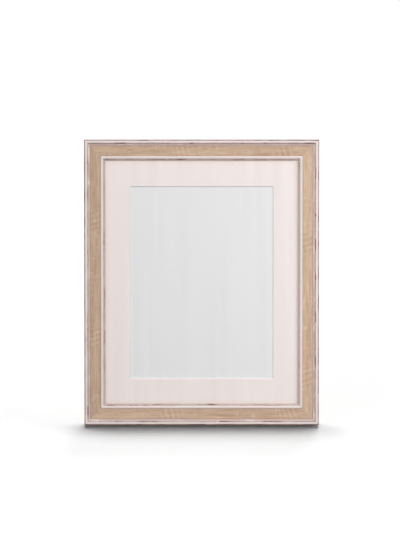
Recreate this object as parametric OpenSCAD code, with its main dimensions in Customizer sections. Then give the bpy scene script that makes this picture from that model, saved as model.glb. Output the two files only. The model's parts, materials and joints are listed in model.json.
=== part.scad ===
// Picture frame that stands on a folding strut or hangs on a wall.
// Four mitred wooden mouldings hold the glazing, a window mount, a blank picture sheet and a
// backing board. X runs to the right, Y to the back and Z up, seen from the front.

/* [Sheets in the rebate] */
// Width of the glazing, mount, picture and board
sheet_w = 203.2; // [160:0.2:300]
// Height of the glazing, mount, picture and board
sheet_h = 254; // [230:0.5:400]
// Gap between the sheets and each side of the rebate
sheet_play = 0.8; // [0.3:0.1:1.5]
// Thickness of the glazing
glass_t = 2; // [1:0.1:3]
// Thickness of the window mount
mount_t = 1.4; // [0.8:0.1:3]
// Width of the window in the mount, at the picture
window_w = 142.4; // [80:0.2:145]
// Height of the window in the mount, at the picture
window_h = 191.8; // [120:0.2:210]
// How far the window is cut above the middle of the mount
window_raise = 0.5; // [0:0.1:3]
// Thickness of the picture sheet
picture_t = 0.3; // [0.1:0.05:1]
// Thickness of the backing board
board_t = 3; // [2:0.1:5]

/* [Moulding] */
// Width of the moulding across its front
face_w = 20.9; // [19:0.1:40]
// Width of the lip that overlaps the sheets
lip_w = 5.8; // [4:0.1:8]
// Depth from the front of the rim to the glazing
lip_d = 6.5; // [6:0.1:12]
// Width of the raised outer rim
rim_w = 3.5; // [2.2:0.1:4.5]
// Radius rubbed onto the outer edge of the rim
rim_round = 1; // [0.3:0.1:1.5]
// Radius rubbed onto the inner edge of the rim
rim_ease = 0.4; // [0.2:0.1:0.7]
// Radius of the cove from the rim down to the panel
cove_r = 2.5; // [1.2:0.1:3]
// Width of the bead along the opening
bead_w = 2.7; // [1.6:0.1:4]
// Height of the straight side of the bead above the panel
bead_side = 0.3; // [0.1:0.05:1]
// Width of the bevel between the bead and the opening
sight_w = 1.9; // [1:0.1:3]
// Depth of the bevel between the bead and the opening
sight_d = 2.1; // [1:0.1:3]

/* [Corner nails] */
// Length of one arm of a nail
nail_arm = 3.6; // [2:0.1:4]
// Thickness of the nail's steel
nail_t = 0.7; // [0.4:0.1:1]
// How deep a nail goes into the wood
nail_h = 7; // [4:0.5:9]
// Angle between the two arms
nail_spread = 70; // [50:5:90]
// Distance of the outer nail from the edges of the frame
nail_outer = 3.8; // [3:0.1:5]
// Distance of the inner nail from the edges of the frame
nail_inner = 10; // [9:0.1:10.5]

/* [Stance] */
// Backward lean of the standing frame
lean = 13; // [8:0.5:18]
// Angle between the board and the opened strut
strut_open = 24; // [20:0.5:32]
// Distance of the strut's hinge from the top of the frame
hinge_top = 85.8; // [80:0.1:120]

/* [Strut and hinge] */
// Thickness of the strut
leg_t = 3; // [2.4:0.1:5]
// Width of the strut at its hinge
leg_top_w = 30; // [28:1:50]
// Width of the strut at its foot
leg_foot_w = 50; // [30:1:80]
// Size of the corners cut off the foot
leg_corner = 4; // [1:0.5:8]
// Width of the hinge
hinge_w = 24; // [18:0.5:27]
// Length of each leaf, from the pin to its end
leaf_l = 17; // [15:0.5:24]
// Thickness of the leaves
leaf_t = 0.8; // [0.6:0.1:1.2]
// Radius of the hinge's pin
pin_r = 1; // [0.7:0.05:1.1]
// How far the hinge's barrel stands proud of the leaves
barrel_proud = 0.1; // [0.05:0.05:0.2]
// Length of the stop tongues beside the fixed knuckle
stop_l = 4.5; // [3:0.1:6]
// Thickness of the pin's heads
pin_head_t = 0.7; // [0.4:0.1:1.5]
// How far the pin's heads stand over the bore
pin_head_rim = 0.5; // [0.3:0.1:0.7]

/* [Rivets] */
// Radius of the rivets
rivet_r = 1.3; // [0.8:0.1:1.6]
// Radius of the rivets' heads
rivet_head_r = 2.4; // [1.8:0.1:3]
// Height of the rivets' domed heads
rivet_head_h = 1; // [0.6:0.1:1.6]

/* [Hangers] */
// Thickness of the strap's metal
strap_t = 0.6; // [0.4:0.1:0.9]
// Width of the strap
strap_w = 10; // [7:0.5:11]
// Length of the strap, from the ring's bar to its round end
strap_l = 14; // [12:0.5:22]
// Radius of the ring's wire
wire_r = 0.9; // [0.7:0.05:1.1]
// Radius of the ring's two small bends
ring_bend = 2.2; // [1.8:0.1:3]
// Straight length of the ring's sides, between the bends and the half round
ring_leg = 2.4; // [1:0.1:4]
// Distance of the upright hanger's bar from the top of the frame
hanger_top = 36; // [34:0.5:42]
// Distance of the sideways hanger's bar from the side of the frame
hanger_side = 36; // [34:0.5:50]

/* [Turn buttons] */
// Thickness of a turn button
button_t = 1; // [0.6:0.1:1.5]
// Radius of the button round its screw
button_r = 5; // [4:0.1:6.5]
// Radius of the button's tip
button_tip_r = 3; // [2:0.1:4]
// Distance from the screw to the centre of the tip
button_reach = 12; // [11:0.1:16]
// Distance of the screws from the outer side of the frame
button_inset = 7.5; // [6.5:0.1:8]
// Distance of the screws from the ends of the frame
button_end = 66; // [45:1:80]
// Radius of the screws
screw_r = 1.6; // [1.2:0.1:2]
// Length of the screws in the wood
screw_l = 8; // [5:0.5:9]
// Radius of the screws' heads
screw_head_r = 3.1; // [2.6:0.1:3.8]
// Height of the screws' heads
screw_head_h = 1.9; // [1.4:0.1:2.4]
// Width of the slots in the screws' heads
screw_slot_w = 0.8; // [0.5:0.1:1]

/* [Clearances] */
// Gap round a pin, wire or screw that something turns on
turn_clear = 0.06; // [0.02:0.01:0.1]
// Gap round a rivet, nail or screw in its hole
hole_clear = 0.03; // [0.01:0.01:0.1]
// Gap between pieces that move past each other
move_gap = 0.3; // [0.2:0.05:0.5]
// Gap under a turn button and under its screw's head
button_gap = 0.1; // [0.05:0.01:0.2]

/* [Hidden] */
$fn = 48;

// One overrun for every cut
cut_over = 1;

// Moulding, measured across from the outer edge and back from the front of the rim
rebate_u = face_w - lip_w;
panel_v = rim_ease + cove_r;
bead_u = face_w - sight_w - bead_w;
bead_v = panel_v - bead_side;
sight_v = bead_v + sight_d;
frame_d = lip_d + glass_t + mount_t + picture_t + board_t;

// Whole frame, and the level of each sheet in it
outer_w = sheet_w + 2 * sheet_play + 2 * rebate_u;
outer_h = sheet_h + 2 * sheet_play + 2 * rebate_u;
mount_y = lip_d + glass_t;
picture_y = mount_y + mount_t;
board_y = picture_y + picture_t;

// Hinge: strut and leaf together are centred on the pin, and the barrel is a little thicker
leg_inner = (leg_t + leaf_t) / 2;
leg_outer = leg_t - leg_inner;
knuckle_r = leg_inner + barrel_proud;
knuckle_bore_r = pin_r + turn_clear;
pin_out = move_gap + leg_inner;
knuckle_l = hinge_w / 3;

// Height of the pin up the frame and as it stands, and the strut's tilt from upright
hinge_z = outer_h - hinge_top;
pin_height = hinge_z * cos(lean) - pin_out * sin(lean);
leg_tilt = strut_open - lean;
leg_l = pin_height / cos(leg_tilt);

// Front and back limits of the standing frame, for its middle
front_y = rim_round * (cos(lean) + sin(lean) - 1);
pin_y = (frame_d + pin_out) * cos(lean) + hinge_z * sin(lean);
foot_y = pin_y + (leg_l + leg_outer * tan(leg_tilt)) * sin(leg_tilt) + leg_outer * cos(leg_tilt);
middle_y = (front_y + foot_y) / 2;

// Rivets of the hinge, at shares of the leaf's length and width
rivet_along_share = 0.68;
rivet_across_share = 0.29;

// Hanger: the folded strap wraps the ring's bar
loop_r = wire_r + turn_clear + strap_t;
ring_flat = strap_w / 2 + move_gap;
ring_r = ring_flat + ring_bend;
strap_rivet_share = 0.6;
hang_z = outer_h - hanger_top;
hang_x = outer_w / 2 - hanger_side;

// Turn buttons and their screws
button_x = outer_w / 2 - button_inset;
button_top_z = outer_h - button_end;
button_slope = asin((button_r - button_tip_r) / button_reach);
screw_point_share = 0.3;
screw_slot_share = 0.62;
screw_slot_depth_share = 0.55;
screw_dome_share = 0.35;

// Puts the upright frame on its lower back edge, leaning back
module stance() {
    translate([0, -middle_y, frame_d * sin(lean)]) rotate([-lean, 0, 0]) children();
}

// A place on the back: the piece's X stays, its Y runs down and its Z runs out
module on_back(x, z) {
    translate([x, frame_d, z]) rotate([-90, 0, 0]) children();
}

// Turns the folded strut about its pin to where it stands open
module opened() {
    on_back(0, hinge_z) translate([0, 0, pin_out]) rotate([strut_open, 0, 0]) children();
}

// Section of the moulding, with its outer edge at the left and its front at the bottom
module moulding_section() {
    difference() {
        union() {
            polygon([
                [0, 0], [rim_w, 0], [rim_w, panel_v], [bead_u, panel_v], [bead_u, bead_v],
                [bead_u + bead_w, bead_v], [face_w, sight_v], [face_w, lip_d],
                [rebate_u, lip_d], [rebate_u, frame_d], [0, frame_d]
            ]);
            difference() {
                translate([rim_w, rim_ease]) square(cove_r);
                translate([rim_w + cove_r, rim_ease]) circle(r = cove_r);
            }
            translate([bead_u + bead_w / 2, bead_v]) circle(d = bead_w);
        }
        rounding(rim_round);
        translate([rim_w, 0]) mirror([1, 0]) rounding(rim_ease);
    }
}

// Waste outside a rounded corner at the origin
module rounding(r) {
    difference() {
        translate([-cut_over, -cut_over]) square(r + cut_over);
        translate([r, r]) circle(r = r);
    }
}

// One length of moulding with its outer edge on the ground and both ends mitred
module mitred_moulding(length) {
    half = length / 2;
    intersection() {
        translate([half, 0, 0]) rotate([0, -90, 0]) linear_extrude(length) moulding_section();
        translate([0, frame_d + cut_over, 0]) rotate([90, 0, 0])
            linear_extrude(frame_d + 2 * cut_over) polygon([
                [-half - cut_over, -cut_over], [half + cut_over, -cut_over],
                [half - face_w - cut_over, face_w + cut_over],
                [-half + face_w + cut_over, face_w + cut_over]
            ]);
    }
}

// Two nails in each corner, driven in from the back, with room all round for their slots
module nails(room) {
    for (side_x = [-1, 1], side_z = [-1, 1], at = [nail_outer, nail_inner])
        translate([side_x * (outer_w / 2 - at), frame_d, outer_h / 2 + side_z * (outer_h / 2 - at)])
            rotate([90, 0, 0]) rotate([0, 0, atan2(-side_z, -side_x)])
                translate([0, 0, room > 0 ? -cut_over : 0])
                    linear_extrude(nail_h + room + (room > 0 ? cut_over : 0))
                        for (turn = [-nail_spread / 2, nail_spread / 2])
                            rotate(turn) translate([-nail_t / 2 - room, -nail_t / 2 - room])
                                square([nail_arm + 2 * room, nail_t + 2 * room]);
}

// Holes for the screws of the turn buttons
module screw_holes() {
    for (x = [-button_x, button_x], z = [button_end, button_top_z])
        on_back(x, z) translate([0, 0, -screw_l - button_gap])
            cylinder(r = screw_r + hole_clear, h = screw_l + button_gap + cut_over);
}

module top_rail() {
    color("#c5a891") stance() difference() {
        translate([0, 0, outer_h]) rotate([0, 180, 0]) mitred_moulding(outer_w);
        nails(hole_clear);
    }
}

module bottom_rail() {
    color("#c4a891") stance() difference() {
        mitred_moulding(outer_w);
        nails(hole_clear);
    }
}

module left_stile() {
    color("#b89983") stance() difference() {
        translate([-outer_w / 2, 0, outer_h / 2]) rotate([0, 90, 0]) mitred_moulding(outer_h);
        nails(hole_clear);
        screw_holes();
    }
}

module right_stile() {
    color("#cdb19a") stance() difference() {
        translate([outer_w / 2, 0, outer_h / 2]) rotate([0, -90, 0]) mitred_moulding(outer_h);
        nails(hole_clear);
        screw_holes();
    }
}

module corner_nails() {
    color("#8d9094") stance() nails(0);
}

// A sheet of the common size, standing on the floor of the rebate
module sheet(y, thick) {
    translate([-sheet_w / 2, y, rebate_u]) cube([sheet_w, thick, sheet_h]);
}

module glazing_sheet() {
    color("#dfe6e4", 0.3) stance() sheet(lip_d, glass_t);
}

// The window's edges slope at 45 degrees, and it is widest at the front
module window_mount() {
    wide = window_w / 2 + mount_t;
    tall = window_h / 2 + mount_t;
    over = cut_over;
    color("#efe3e0") stance() difference() {
        sheet(mount_y, mount_t);
        translate([0, mount_y, rebate_u + sheet_h / 2 + window_raise]) intersection() {
            translate([0, 0, -tall - over]) linear_extrude(2 * (tall + over)) polygon([
                [-wide - over, -over], [wide + over, -over],
                [window_w / 2 - over, mount_t + over], [-window_w / 2 + over, mount_t + over]
            ]);
            translate([-wide - over, 0, 0]) rotate([90, 0, 90]) linear_extrude(2 * (wide + over))
                polygon([
                    [-over, -tall - over], [-over, tall + over],
                    [mount_t + over, window_h / 2 - over], [mount_t + over, -window_h / 2 + over]
                ]);
        }
    }
}

module picture_sheet() {
    color("#e1e1e1") stance() sheet(picture_y, picture_t);
}

module backing_board() {
    color("#8a6a4c") stance() difference() {
        sheet(board_y, board_t);
        on_back(0, hinge_z) hinge_rivet_places(-1) rivet_hole(board_t);
        at_upright_hanger() strap_rivet_place() rivet_hole(board_t);
        at_sideways_hanger() strap_rivet_place() rivet_hole(board_t);
    }
}

// Two places on a leaf, above the pin for side -1 and below it for side 1
module hinge_rivet_places(side) {
    for (x = [-rivet_across_share, rivet_across_share] * hinge_w)
        translate([x, side * rivet_along_share * leaf_l, 0]) children();
}

// A domed rivet whose head stands on the plane Z = 0 and whose shank goes below it
module rivet(grip) {
    dome_r = (rivet_head_r * rivet_head_r + rivet_head_h * rivet_head_h) / (2 * rivet_head_h);
    intersection() {
        translate([0, 0, rivet_head_h - dome_r]) sphere(r = dome_r);
        cylinder(r = rivet_head_r + cut_over, h = rivet_head_h + cut_over);
    }
    translate([0, 0, -grip]) cylinder(r = rivet_r, h = grip);
}

module rivet_hole(thick) {
    translate([0, 0, -thick - cut_over])
        cylinder(r = rivet_r + hole_clear, h = thick + 2 * (leaf_t + strap_t + cut_over));
}

// A leaf with its barrel, from a section drawn round the pin: across is down, up is out
module leaf_blank() {
    translate([-hinge_w / 2, 0, pin_out]) rotate([90, 0, 90]) linear_extrude(hinge_w) difference() {
        union() {
            circle(r = knuckle_r);
            children();
        }
        circle(r = knuckle_bore_r);
    }
}

// The fixed leaf narrows to its one knuckle, beside which the stop tongues rest on the board
module hinge_board_leaf() {
    neck = knuckle_l - move_gap;
    clear = stop_l + move_gap;
    color("#b9bcc0") stance() on_back(0, hinge_z) difference() {
        leaf_blank() translate([-leaf_l, -pin_out]) square([leaf_l, leaf_t]);
        for (side = [0, 1]) mirror([side, 0, 0]) translate([neck / 2, -clear, -cut_over])
            cube([hinge_w, clear + 2 * knuckle_r, pin_out + 2 * knuckle_r]);
        hinge_rivet_places(-1) rivet_hole(leaf_t);
    }
}

module hinge_board_rivets() {
    color("#a9acb0") stance() on_back(0, hinge_z) hinge_rivet_places(-1)
        translate([0, 0, leaf_t]) rivet(leaf_t + board_t);
}

module hinge_pin() {
    head_r = knuckle_bore_r + pin_head_rim;
    color("#9ea1a5") stance() on_back(0, hinge_z) translate([0, 0, pin_out]) rotate([0, 90, 0]) {
        translate([0, 0, -hinge_w / 2]) cylinder(r = pin_r, h = hinge_w);
        for (side = [0, 1]) mirror([0, 0, side])
            translate([0, 0, hinge_w / 2]) cylinder(r = head_r, h = pin_head_t);
    }
}

// The turning leaf lies on the strut, and its tongues meet the board when the strut is open
module hinge_strut_leaf() {
    notch_w = knuckle_l + move_gap;
    notch_l = stop_l + 2 * knuckle_r;
    color("#b9bcc0") stance() difference() {
        on_back(0, hinge_z) leaf_blank() {
            rotate(strut_open) translate([0, leg_outer]) square([leaf_l, leaf_t]);
            translate([-stop_l, -leg_inner]) square([stop_l, leaf_t]);
        }
        opened() {
            translate([-notch_w / 2, knuckle_r + move_gap - notch_l, -notch_l / 2])
                cube([notch_w, notch_l, notch_l]);
            translate([0, 0, leg_outer]) hinge_rivet_places(1) rivet_hole(leaf_t);
        }
    }
}

module hinge_strut_rivets() {
    color("#a9acb0") stance() opened() translate([0, 0, leg_outer + leaf_t])
        hinge_rivet_places(1) rivet(leaf_t + leg_t);
}

// The strut widens to its foot, whose end is cut level with the ground
module strut_leg() {
    start = knuckle_r + move_gap;
    long = leg_l + leg_t;
    top = leg_top_w / 2;
    foot = leg_foot_w / 2;
    color("#7d6147") stance() opened() difference() {
        translate([0, 0, -leg_inner]) linear_extrude(leg_t) polygon([
            [-top, start], [top, start], [foot, leg_l - leg_corner],
            [foot - leg_corner, leg_l], [foot - leg_corner, long],
            [leg_corner - foot, long], [leg_corner - foot, leg_l], [-foot, leg_l - leg_corner]
        ]);
        translate([0, leg_l, 0]) rotate([-leg_tilt, 0, 0])
            translate([-leg_foot_w, 0, -leg_foot_w]) cube([leg_foot_w, leg_foot_w, leg_foot_w] * 2);
        translate([0, 0, leg_outer]) hinge_rivet_places(1) rivet_hole(leg_t);
    }
}

module at_upright_hanger() {
    on_back(0, hang_z) children();
}

module at_sideways_hanger() {
    on_back(hang_x, outer_h / 2) rotate([0, 0, 90]) children();
}

module strap_rivet_place() {
    translate([0, strap_rivet_share * strap_l, 0]) children();
}

// Two layers of metal folded round the ring's bar, with a round end
module hanger_strap() {
    end_y = strap_l - strap_w / 2;
    color("#b3b6ba") difference() {
        union() {
            translate([-strap_w / 2, 0, 0]) cube([strap_w, end_y, 2 * strap_t]);
            translate([0, end_y, 0]) cylinder(d = strap_w, h = 2 * strap_t);
            translate([-strap_w / 2, 0, loop_r]) rotate([0, 90, 0]) cylinder(r = loop_r, h = strap_w);
        }
        translate([-strap_w / 2 - cut_over, 0, loop_r]) rotate([0, 90, 0])
            cylinder(r = wire_r + turn_clear, h = strap_w + 2 * cut_over);
        strap_rivet_place() rivet_hole(2 * strap_t);
    }
}

module hanger_rivet() {
    color("#a9acb0") strap_rivet_place() translate([0, 0, 2 * strap_t]) rivet(2 * strap_t + board_t);
}

// A D-shaped wire ring, turned out from the board by an angle about its straight bar
module hanger_ring(angle) {
    color("#c2c5c9") translate([0, 0, loop_r]) rotate([angle, 0, 0]) {
        translate([-ring_flat, 0, 0]) rotate([0, 90, 0]) cylinder(r = wire_r, h = 2 * ring_flat);
        for (side = [0, 1]) mirror([side, 0, 0]) {
            translate([ring_flat, ring_bend, 0]) rotate([0, 0, -90]) wire_bend(ring_bend, 90);
            translate([ring_r, ring_bend, 0]) rotate([-90, 0, 0]) cylinder(r = wire_r, h = ring_leg);
        }
        translate([0, ring_bend + ring_leg, 0]) wire_bend(ring_r, 180);
    }
}

module wire_bend(r, angle) {
    rotate_extrude(angle = angle) translate([r, 0]) circle(r = wire_r);
}

module upright_hanger_strap() {
    stance() at_upright_hanger() hanger_strap();
}

module upright_hanger_rivet() {
    stance() at_upright_hanger() hanger_rivet();
}

module upright_hanger_ring() {
    stance() at_upright_hanger() hanger_ring(lean);
}

module sideways_hanger_strap() {
    stance() at_sideways_hanger() hanger_strap();
}

module sideways_hanger_rivet() {
    stance() at_sideways_hanger() hanger_rivet();
}

module sideways_hanger_ring() {
    stance() at_sideways_hanger() hanger_ring(90);
}

// A drop-shaped plate on its screw, pointing inwards from side -1 or 1
module turn_button(side, z) {
    across = [sin(button_slope), cos(button_slope)];
    color("#b0b3b7") stance() on_back(side * button_x, z) rotate([0, 0, side > 0 ? 180 : 0])
        translate([0, 0, button_gap]) linear_extrude(button_t) difference() {
            union() {
                circle(r = button_r);
                translate([button_reach, 0]) circle(r = button_tip_r);
                polygon([
                    [button_r * across.x, -button_r * across.y],
                    [button_reach + button_tip_r * across.x, -button_tip_r * across.y],
                    [button_reach + button_tip_r * across.x, button_tip_r * across.y],
                    [button_r * across.x, button_r * across.y]
                ]);
            }
            circle(r = screw_r + turn_clear);
        }
}

module turn_button_upper_left() {
    turn_button(-1, button_top_z);
}

module turn_button_upper_right() {
    turn_button(1, button_top_z);
}

module turn_button_lower_left() {
    turn_button(-1, button_end);
}

module turn_button_lower_right() {
    turn_button(1, button_end);
}

// A domed screw with a cross in its head, whose head stands on the plane Z = 0
module screw() {
    point = screw_point_share * screw_l;
    under = 2 * button_gap + button_t;
    rim = (1 - screw_dome_share) * screw_head_h;
    dome_h = screw_dome_share * screw_head_h;
    dome_r = (screw_head_r * screw_head_r + dome_h * dome_h) / (2 * dome_h);
    slot = screw_slot_share * screw_head_r;
    difference() {
        union() {
            cylinder(r = screw_head_r, h = rim);
            intersection() {
                translate([0, 0, screw_head_h - dome_r]) sphere(r = dome_r);
                translate([0, 0, rim]) cylinder(r = screw_head_r, h = dome_h + cut_over);
            }
        }
        for (turn = [0, 90]) rotate([0, 0, turn])
            translate([-slot, -screw_slot_w / 2, (1 - screw_slot_depth_share) * screw_head_h])
                cube([2 * slot, screw_slot_w, screw_head_h]);
    }
    translate([0, 0, point - screw_l - under]) cylinder(r = screw_r, h = screw_l + under - point);
    translate([0, 0, -screw_l - under]) cylinder(r1 = 0, r2 = screw_r, h = point);
}

module turn_button_screws() {
    color("#9b9ea2") stance() for (x = [-button_x, button_x], z = [button_end, button_top_z])
        on_back(x, z) translate([0, 0, 2 * button_gap + button_t]) screw();
}

top_rail();
bottom_rail();
left_stile();
right_stile();
corner_nails();
glazing_sheet();
window_mount();
picture_sheet();
backing_board();
hinge_board_leaf();
hinge_board_rivets();
hinge_pin();
hinge_strut_leaf();
hinge_strut_rivets();
strut_leg();
upright_hanger_strap();
upright_hanger_rivet();
upright_hanger_ring();
sideways_hanger_strap();
sideways_hanger_rivet();
sideways_hanger_ring();
turn_button_upper_left();
turn_button_upper_right();
turn_button_lower_left();
turn_button_lower_right();
turn_button_screws();
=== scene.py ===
import json
import math

import bpy
from mathutils import Matrix, Vector


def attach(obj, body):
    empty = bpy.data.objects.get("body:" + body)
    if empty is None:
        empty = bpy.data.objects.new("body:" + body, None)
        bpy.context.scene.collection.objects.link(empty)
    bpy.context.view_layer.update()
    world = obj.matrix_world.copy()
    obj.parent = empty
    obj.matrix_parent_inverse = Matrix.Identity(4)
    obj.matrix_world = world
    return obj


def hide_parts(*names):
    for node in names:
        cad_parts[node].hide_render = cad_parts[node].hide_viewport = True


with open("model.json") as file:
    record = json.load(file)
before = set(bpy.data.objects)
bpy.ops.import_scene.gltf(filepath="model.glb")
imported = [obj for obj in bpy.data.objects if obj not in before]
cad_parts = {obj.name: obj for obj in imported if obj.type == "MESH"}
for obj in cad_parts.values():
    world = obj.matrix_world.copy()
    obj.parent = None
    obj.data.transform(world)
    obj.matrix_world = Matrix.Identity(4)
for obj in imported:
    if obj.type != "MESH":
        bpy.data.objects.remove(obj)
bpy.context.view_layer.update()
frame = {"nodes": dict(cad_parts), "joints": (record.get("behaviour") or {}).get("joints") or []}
scene = bpy.context.scene
print("Frame loaded with", len(frame["nodes"]), "solids")


def hexColour(code):  # sRGB hex to the linear colour that shaders and lights take
    parts = [int(code[i:i + 2], 16) / 255 for i in (1, 3, 5)]
    return [p / 12.92 if p <= 0.04045 else ((p + 0.055) / 1.055) ** 2.4 for p in parts] + [1.0]


def addNode(tree, kind, settings=None, inputs=None):  # an input takes a value, a socket or a node
    node = tree.nodes.new(kind)
    for name, value in (settings or {}).items():
        setattr(node, name, value)
    for name, value in (inputs or {}).items():
        socket = node.inputs[name] if isinstance(name, int) else next(
            s for s in node.inputs if s.enabled and s.name == name)
        if isinstance(value, bpy.types.Node):
            value = next(s for s in value.outputs if s.enabled)
        if isinstance(value, bpy.types.NodeSocket):
            tree.links.new(value, socket)
        else:
            socket.default_value = value
    return node


# How the frame stands: it leans back on the lower back edge of its bottom rail
frameSize = {"width": 235.0, "height": 285.8, "depth": 13.2}  # millimetres, as all sizes of pieces below
buttonAxis = next(j["axis"] for j in frame["joints"] if j["name"].startswith("turn_button"))
lean = math.atan2(-buttonAxis[2], buttonAxis[1])
backEdge = min((v.co for v in frame["nodes"]["bottom_rail"].data.vertices),
               key=lambda co: (round(co.z, 5), -co.y))
standing = (Matrix.Translation((0, backEdge.y, 0)) @ Matrix.Rotation(-lean, 4, "X")
            @ Matrix.Diagonal((0.001, 0.001, 0.001, 1))
            @ Matrix.Translation((0, -frameSize["depth"], 0)))


def onBack(x, z, turn=0):  # a place on the back: its Y runs down and its Z runs out
    return (standing @ Matrix.Translation((x, frameSize["depth"], z))
            @ Matrix.Rotation(-math.pi / 2, 4, "X") @ Matrix.Rotation(math.radians(turn), 4, "Z"))


def startMaterial(name):
    material = bpy.data.materials.new(name)
    material.use_nodes = True
    material.node_tree.nodes.clear()
    return material, material.node_tree


def finishMaterial(material, look, colour, pattern, height):  # rough by pattern, raised by height
    tree, (start, end) = material.node_tree, look.get("roughAt", (0.0, 1.0))
    rough = addNode(tree, "ShaderNodeMapRange", inputs={
        "Value": pattern, "From Min": start, "From Max": end,
        "To Min": look["rough"][0], "To Max": look["rough"][1]})
    bump = addNode(tree, "ShaderNodeBump", inputs={
        "Height": height, "Strength": look["relief"], "Distance": look["depth"]})
    shader = addNode(tree, "ShaderNodeBsdfPrincipled", inputs={
        "Base Color": colour, "Roughness": rough, "Normal": bump, **look.get("surface", {})})
    addNode(tree, "ShaderNodeOutputMaterial", inputs={"Surface": shader})
    return material


def uprightPlace(tree, turn=0.0):  # millimetres along the frame, or along a piece that leans otherwise
    return addNode(tree, "ShaderNodeMapping", inputs={
        "Vector": addNode(tree, "ShaderNodeTexCoord").outputs["Object"],
        "Rotation": (lean + math.radians(turn), 0, 0), "Scale": (1000, 1000, 1000)})


def drawnOut(tree, place, own, kind="ShaderNodeTexNoise"):  # a pattern with a size along each axis
    settings = {"Scale": 1.0, **own}
    spot = addNode(tree, "ShaderNodeMapping", inputs={
        "Vector": place, "Location": (settings.pop("shift", 0.0), 0, 0),
        "Rotation": (0, 0, math.radians(settings.pop("turn", 0.0))),
        "Scale": [1 / size for size in settings.pop("size")]})
    return addNode(tree, kind, inputs={"Vector": spot, **settings})


def layOver(tree, under, over, pattern, reach, most=1.0, edge="LINEAR"):  # a coat where a pattern is high
    share = addNode(tree, "ShaderNodeMapRange", {"interpolation_type": edge}, {
        "Value": pattern, "From Min": reach[0], "From Max": reach[1], "To Max": most})
    return addNode(tree, "ShaderNodeMix", {"data_type": "RGBA"}, {
        "Factor": share, "A": under, "B": hexColour(over)})


def limedOak():  # open-grained oak brushed with white lime wax: pale tan, fine lines along each rail, darker along the panel's edges, partly wax and partly painted shade in those corners
    look = {
        "mid": "#cfae94", "dark": "#ab886e", "light": "#e0c5ac", "lime": "#e2d5c8", "waxAndShade": "#a98d80",
        "darkAt": (0.52, 0.98), "midShare": 0.36,  # the even middle colour takes this share from the grain
        # pores, drawn coarser because real ones lie 0.3 mm apart, too fine to show
        "lines": {"size": (17.0, 1.25, 1.25), "Detail": 4.0, "Roughness": 0.62},
        "bands": {"size": (70.0, 5.5, 5.5), "Detail": 2.0}, "bandPull": 0.45,
        "arches": {"size": (4.4, 4.4 / 0.45, 4.4), "turn": -38.0, "Scale": 0.31,
                   "Distortion": 7.0, "Detail": 3.0, "Detail Scale": 0.35},
        "archPull": 0.17,  # of the cathedral figure
        "flecks": {"size": (2.4, 5.5, 5.5), "turn": 24.0, "Scale": 0.7, "Detail": 3.0},
        "fleckAt": (0.57, 0.75), "fleckPull": 0.4,  # ray flecks, longer across the grain
        "middle": 11.15, "halfWidth": 5.15,  # the panel
        "corner": 1.1, "cornerPull": 0.55,  # how far in from the panel's edges and how strongly the oak darkens towards the wax colour there: partly wax in the corners, partly painted shade
        "rough": (0.5, 0.68),
        "relief": 0.5, "depth": 0.0001,  # of the pores, in metres
    }
    material, tree = startMaterial("limedOak")
    grain = addNode(tree, "ShaderNodeAttribute", {"attribute_name": "grain"}).outputs["Vector"]
    figure = addNode(tree, "ShaderNodeAttribute", {"attribute_name": "figure"}).outputs["Fac"]
    tone = addNode(tree, "ShaderNodeAttribute", {"attribute_name": "tone"}).outputs["Fac"]
    lines, bands = drawnOut(tree, grain, look["lines"]), drawnOut(tree, grain, look["bands"])
    arches = drawnOut(tree, grain, look["arches"], "ShaderNodeTexWave")
    archDepth = addNode(tree, "ShaderNodeMath", {"operation": "MULTIPLY"}, {
        0: addNode(tree, "ShaderNodeMath", {"operation": "SUBTRACT"}, {0: arches.outputs["Fac"], 1: 0.5}),
        1: figure})
    mixed = addNode(tree, "ShaderNodeMath", {"operation": "MULTIPLY_ADD"}, {
        0: archDepth, 1: look["archPull"], 2: lines})
    mixed = addNode(tree, "ShaderNodeMath", {"operation": "MULTIPLY_ADD"}, {
        0: bands, 1: look["bandPull"], 2: mixed})
    under = layOver(tree, hexColour(look["light"]), look["dark"], mixed, look["darkAt"])
    body = addNode(tree, "ShaderNodeMix", {"data_type": "RGBA"}, {
        "Factor": look["midShare"], "A": under, "B": hexColour(look["mid"])})
    flecks = drawnOut(tree, grain, look["flecks"])
    limed = layOver(tree, body, look["lime"], flecks, look["fleckAt"], look["fleckPull"])
    across = addNode(tree, "ShaderNodeSeparateXYZ", inputs={"Vector": grain}).outputs["Y"]
    offMiddle = addNode(tree, "ShaderNodeMath", {"operation": "ABSOLUTE"}, {
        0: addNode(tree, "ShaderNodeMath", {"operation": "SUBTRACT"}, {0: across, 1: look["middle"]})})
    corner = (look["halfWidth"] - look["corner"], look["halfWidth"])
    # the panel darkens towards both edges: partly wax, partly painted shade in the corners along the cove
    # and the bead
    waxedAndShaded = layOver(tree, limed, look["waxAndShade"], offMiddle, corner, look["cornerPull"])
    toned = addNode(tree, "ShaderNodeVectorMath", {"operation": "SCALE"}, {"Vector": waxedAndShaded, "Scale": tone})
    return finishMaterial(material, look, toned, lines, lines)


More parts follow.
